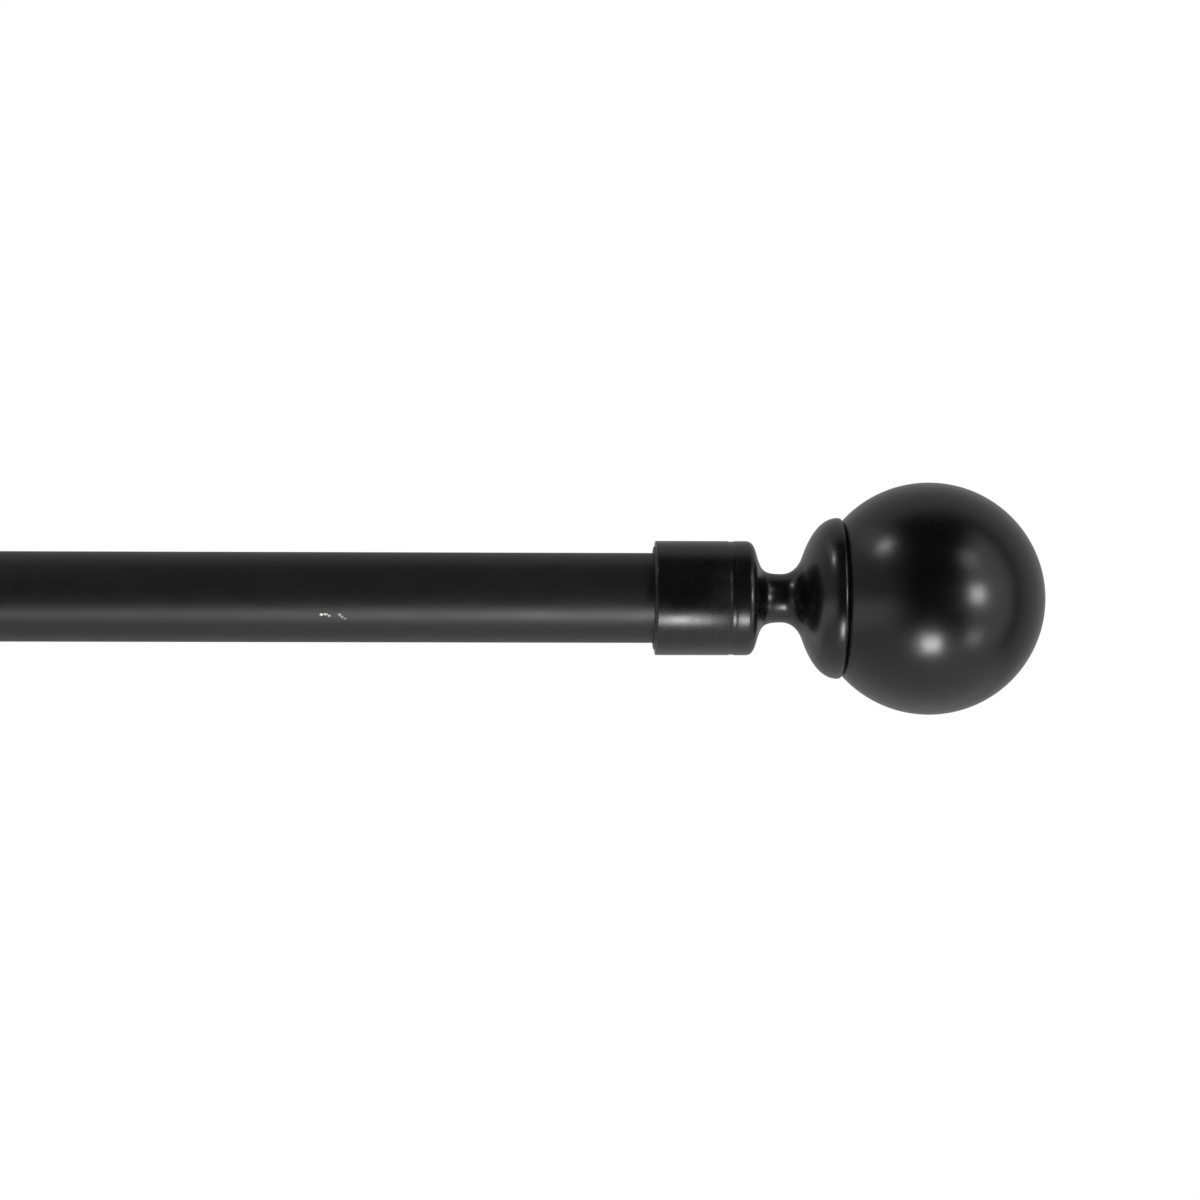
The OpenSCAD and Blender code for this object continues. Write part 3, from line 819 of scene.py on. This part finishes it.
# %% Thumb screw
thumb_lo, thumb_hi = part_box("right_thumb_screw")
GRIP_R, GRIP_L = 7.5 * MM, 7.0 * MM
FLUTES = 20
FLUTE_SCALE = 0.93
DISH_R, DISH_L = 5.2 * MM, 0.7 * MM
THREAD_MM = 0.8
NOSE_L, NOSE_R = 1.85, 1.25


def threaded_outline(start, end, crest, pitch, depth):
    """A shank with a ridge every pitch, from start to end along its axis, in millimetres."""
    line = [(start, 0.2), (start, crest - depth)]
    count = int((end - start) / pitch)
    for i in range(count):
        at = start + i * pitch
        line += [(at + 0.25 * pitch, crest), (at + 0.5 * pitch, crest),
                 (at + 0.85 * pitch, crest - depth)]
    return line + [(end, crest - depth), (end, 0.2)]


def make_grip():
    back_y = thumb_lo.y + GRIP_L
    centre = Vector((BRACKET_X, back_y, 0))
    bpy.ops.object.select_all(action="DESELECT")
    bpy.ops.mesh.primitive_circle_add(vertices=3 * FLUTES, radius=GRIP_R, fill_type="NGON",
                                      location=centre, rotation=(math.radians(90), 0, 0))
    grip = bpy.context.object
    bpy.ops.object.transform_apply(location=True, rotation=True, scale=True)
    bpy.ops.object.mode_set(mode="EDIT")
    pick(grip, "VERT", lambda v: v.index % 3 == 0)
    bpy.ops.transform.resize(value=(FLUTE_SCALE,) * 3, center_override=centre)
    bpy.ops.mesh.select_all(action="SELECT")
    bpy.ops.mesh.extrude_region_move(TRANSFORM_OT_translate={"value": (0, -GRIP_L, 0)})
    bpy.ops.object.mode_set(mode="OBJECT")
    cut(grip, drill(DISH_R, (BRACKET_X, thumb_lo.y - MM, 0), (BRACKET_X, thumb_lo.y + DISH_L, 0)))
    bevel(grip, 0.3, 3, 40)
    return finish_piece(grip)


grip = make_grip()
thumb_tip = (BRACKET_X, thumb_hi.y, 0)
nose = [(0.0, 0.15), (0.0, 1.0), (0.25, NOSE_R), (NOSE_L, NOSE_R), (NOSE_L, 0.15)]
nose_piece = turned("nose", in_metres(nose), thumb_tip, FROM_WALL, 32)
shank_l = (thumb_hi.y - thumb_lo.y - GRIP_L) / MM
shank_line = threaded_outline(NOSE_L, shank_l + 0.2, THUMB_R / MM, THREAD_MM, 0.45)
shank = turned("shank", in_metres(shank_line), thumb_tip, FROM_WALL, 48)
right_thumb = joined("right_thumb_screw_fluted", grip, shank, nose_piece)
left_thumb = copied(right_thumb, "left_thumb_screw_fluted", offset=to_left_side)
hand_over(right_thumb, "right_thumb_screw", "right_thumb_screw", casting_black)
hand_over(left_thumb, "left_thumb_screw", "left_thumb_screw", casting_black)

# %% [markdown]
# ## The wall screws
#
# Four zinc plated pan-head screws hold the plates. One is made and copied: a turned head with
# a punched cross recess, and a shank whose thread is a real helix. A triangle
# profile is wound along the shank with the Screw modifier, which keeps the pitch exact.

# %% Wall screw
SCREW_BACK = screws_hi.y / MM
POINT_L = 5.0
PITCH = 1.8
CROSS_SLOT = (4.4 * MM, 2.8 * MM, 0.9 * MM)


def make_thread(root, crest, start, length):
    """A three-cornered ridge wound along a screw, from start towards the wall's face."""
    bpy.ops.object.select_all(action="DESELECT")
    bpy.ops.mesh.primitive_circle_add(vertices=3, radius=0.3 * MM, fill_type="NGON",
                                      location=(0, 0, 0))
    thread = bpy.context.object
    bpy.ops.object.mode_set(mode="EDIT")
    bpy.ops.mesh.select_mode(type="VERT")
    corners = [(root * MM, 0, -0.5 * MM), (crest * MM, 0, 0), (root * MM, 0, 0.5 * MM)]
    for index, corner in enumerate(corners):
        pick(thread, "VERT", lambda v: v.index == index)
        bpy.ops.transform.translate(value=Vector(corner) - thread.data.vertices[index].co)
    bpy.ops.object.mode_set(mode="OBJECT")
    modify(thread, "SCREW", axis="Z", steps=20, render_steps=20, screw_offset=PITCH * MM,
           iterations=int(length / PITCH), use_merge_vertices=False)
    thread.rotation_euler = (math.radians(90), 0, 0)
    thread.location = start
    return finish_piece(thread, 20)


def make_wall_screw():
    where = (BRACKET_X, 0, screw_z)
    top = plate_t + HEAD_T
    line = ([(-SCREW_BACK, 0.05), (-SCREW_BACK + POINT_L, SCREW_R - 0.45), (-1.0, SCREW_R - 0.4),
             (0.0, SCREW_R), (plate_t, SCREW_R), (plate_t, HEAD_R - 0.15), (plate_t + 0.2, HEAD_R)]
            + sweep((plate_t + 0.2, HEAD_R), 0, 1.0, (top, HEAD_R - 1.8), -85, 1.2, 10)
            + [(top, 0.05)])
    body = turned("screw", in_metres(line), where, FROM_WALL, 40)
    for angle in (0, math.radians(90)):
        bpy.ops.mesh.primitive_cube_add(size=1, location=(where[0], -top * MM, where[2]),
                                        rotation=(0, angle, 0))
        slot = bpy.context.object
        slot.scale = CROSS_SLOT
        cut(body, slot)
    finish_piece(body)
    start = Vector((where[0], (SCREW_BACK - POINT_L) * MM, where[2]))
    thread = make_thread(SCREW_R - 0.5, SCREW_R - 0.02, start, SCREW_BACK - POINT_L - 3.0)
    return joined("right_wall_screw", body, thread)


upper = make_wall_screw()
lower = copied(upper, "lower_screw", offset=(0, 0, -2 * screw_z))
right_screws = joined("right_wall_screws_plated", upper, lower)
left_screws = copied(right_screws, "left_wall_screws_plated", offset=to_left_side)
hand_over(right_screws, "wall_mounts", "right_wall_screws", zinc)
hand_over(left_screws, "wall_mounts", "left_wall_screws", zinc)

# %% [markdown]
# ## CAD pieces that keep their shape
#
# The small inner pieces already have the right shape, so they keep their CAD meshes and only
# get a finish: grub screws in blackened steel, studs in zinc, pads in nylon, the glide in
# moulded plastic and the liners in soft plastic.

# %% Finish the CAD nodes
KEPT = {"glide": sleeve_plastic}
for side in ("left", "right"):
    KEPT.update({side + "_post_screw": black_oxide, side + "_cradle_screw": black_oxide,
                 side + "_socket_screw": black_oxide, side + "_ball_stud": zinc,
                 side + "_liner": soft_plastic, side + "_pad": nylon})
for name, material in KEPT.items():
    for material_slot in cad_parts[name].material_slots:
        material_slot.material = material
print("finished", len(KEPT), "CAD nodes")

# %% [markdown]
# ## The studio
#
# The rod is shown against plain white, as in a shop's picture. The world is white to the
# camera, and what the glossy coat mirrors is a simple room: a pale table below, a grey wall
# behind, a white screen on the left and one on the right, and nearly nothing in front. Every
# part of the room fades softly into the next.

# %% World
TABLE = 0.84          # how bright each part of the room is, where the world's white is 1
WALL_BEHIND = 0.42
SIDE_LEFT = 1.05
SIDE_RIGHT = 0.98
LEFT_AT_LEAST = 0.3   # the left screen's share at the rod's height, between its two bright parts
DARK_FRONT = 0.016


def make_world():
    world = bpy.data.worlds.new("studio")
    bpy.context.scene.world = world
    world.use_nodes = True
    tree = world.node_tree
    background = tree.nodes["Background"]
    direction = add_node(tree, "ShaderNodeTexCoord").outputs["Generated"]
    parts = add_node(tree, "ShaderNodeSeparateXYZ", {0: direction})

    def ramp(axis, start, end, high):
        found = add_node(tree, "ShaderNodeMapRange", {0: parts.outputs[axis]},
                         interpolation_type="SMOOTHSTEP", in_1=start, in_2=end, in_3=0.0, in_4=high)
        return found.outputs[0]

    def brighter(a, b):
        return add_node(tree, "ShaderNodeMath", {0: a, 1: b}, operation="MAXIMUM").outputs[0]

    def both(a, b):
        return add_node(tree, "ShaderNodeMath", {0: a, 1: b}, operation="MULTIPLY").outputs[0]

    table = ramp("Z", -0.35, -0.80, TABLE)
    wall = ramp("Y", -0.12, 0.25, WALL_BEHIND)
    low = ramp("Z", 0.15, -0.15, 1.0)
    high = ramp("Z", 0.45, 0.75, 1.0)
    screen = add_node(tree, "ShaderNodeMath", {0: brighter(low, high)},
                      operation="MAXIMUM", in_1=LEFT_AT_LEAST).outputs[0]
    left = both(ramp("X", -0.30, -0.85, SIDE_LEFT), screen)
    right = both(ramp("X", 0.38, 0.68, SIDE_RIGHT), ramp("Y", 0.06, -0.30, 1.0))
    room = brighter(brighter(table, wall), brighter(left, right))
    room = add_node(tree, "ShaderNodeMath", {0: room}, operation="ADD", in_1=DARK_FRONT).outputs[0]
    seen = add_node(tree, "ShaderNodeLightPath").outputs["Is Camera Ray"]
    level = add_node(tree, "ShaderNodeMix", {0: seen, 2: room}, data_type="FLOAT", in_3=1.0)
    background.inputs["Color"].default_value = (1, 1, 1, 1)
    tree.links.new(level.outputs[0], background.inputs["Strength"])


make_world()
bpy.context.scene.view_settings.view_transform = "Standard"
print("world:", len(bpy.context.scene.world.node_tree.nodes), "nodes")

# %% [markdown]
# Five soft lamps each put one blurred highlight on the ball. A highlight sits where the ball's
# surface faces half way between the camera and the lamp, so each lamp is placed by the
# direction in which that spot of the ball mirrors the camera's ray. A strip in front of the
# tube carries the low highlight on to the left, in a narrow beam that hardly touches the ball.
# The last lamp hangs over the floor and is left out of reflections: it makes the floor pale.

# %% Lamps
def lamp_at(name, place, to_lamp, width, height, watts, spread_deg=180):
    data = bpy.data.lights.new(name, "AREA")
    data.shape = "RECTANGLE"
    data.size, data.size_y, data.energy = width, height, watts
    data.spread = math.radians(spread_deg)
    lamp = bpy.data.objects.new(name, data)
    bpy.context.scene.collection.objects.link(lamp)
    lamp.location = place
    lamp.rotation_mode = "QUATERNION"
    lamp.rotation_quaternion = (-to_lamp).to_track_quat("-Z", "Y")
    lamp.visible_camera = False
    return lamp


def soft_lamp(name, right_deg, up_deg, width, height, watts, distance, spread_deg=180):
    """A lamp whose highlight lies where the ball's surface leans this far from the camera."""
    ball = Vector((BALL_X, AXIS_Y, 0))
    facing = math.atan2(camera_place.x - ball.x, ball.y - camera_place.y)
    right, up = math.radians(right_deg) + facing, math.radians(up_deg)
    normal = Vector((math.sin(right), -math.cos(right) * math.cos(up), math.sin(up))).normalized()
    spot = ball + normal * BALL_R
    to_camera = (camera_place - spot).normalized()
    to_lamp = (2 * normal.dot(to_camera) * normal - to_camera).normalized()
    return lamp_at(name, spot + to_lamp * distance, to_lamp, width, height, watts, spread_deg)


soft_lamp("lamp_below", 2.0, -22.3, 0.20, 0.19, 0.35, 0.72, 70)
soft_lamp("lamp_right", 24.2, 2.0, 0.50, 0.50, 9.5, 2.0)
soft_lamp("lamp_upper_left", -21.0, 26.5, 0.40, 0.40, 5.0, 2.4)
soft_lamp("lamp_upper_right", 20.5, 19.2, 0.60, 0.60, 2.6, 2.2)
soft_lamp("lamp_lower_right", 22.8, -19.0, 0.20, 0.20, 0.055, 0.8, 70)
below = Vector((0, -0.72, -0.69)).normalized()
strip_place = Vector((MOUTH_X - 0.245, AXIS_Y, 0)) + below * 0.72
lamp_at("strip_below", strip_place, below, 0.24, 0.16, 0.04, 36)
over_place, above = Vector((BALL_X - 0.05, AXIS_Y, 1.5)), Vector((0, 0, 1))
floor_lamp = lamp_at("lamp_over", over_place, above, 1.0, 0.8, 3.6, 80)
floor_lamp.visible_glossy = False

# %% [markdown]
# The floor is a plain disc of pale paint, well below the rod, so the wall plates hang free. It
# turns see-through towards its rim, so that it melts into the white round it.

# %% Floor
FLOOR_Z, FLOOR_R, FADE_FROM = -0.62, 1.6, 0.5
bpy.ops.object.select_all(action="DESELECT")
bpy.ops.mesh.primitive_circle_add(vertices=96, radius=FLOOR_R, fill_type="NGON",
                                  location=(0, 0, FLOOR_Z))
floor = bpy.context.object
floor.name = "floor"
bpy.ops.object.transform_apply(location=True)
material, tree, shader, place = new_material("pale_floor_paint", "#f4f4f4", 0.9)
from_middle = add_node(tree, "ShaderNodeVectorMath", {0: place}, operation="MULTIPLY", in_1=(1, 1, 0))
reach = add_node(tree, "ShaderNodeVectorMath", {0: from_middle.outputs[0]}, operation="LENGTH")
fade = add_node(tree, "ShaderNodeMapRange", {0: reach.outputs["Value"]},
                interpolation_type="SMOOTHSTEP", in_1=FADE_FROM, in_2=FLOOR_R * 0.97,
                in_3=1.0, in_4=0.0)
tree.links.new(fade.outputs[0], shader.inputs["Alpha"])
floor.data.materials.append(material)
print("floor: radius %.1f m, %.2f m below the rod" % (FLOOR_R, -FLOOR_Z))
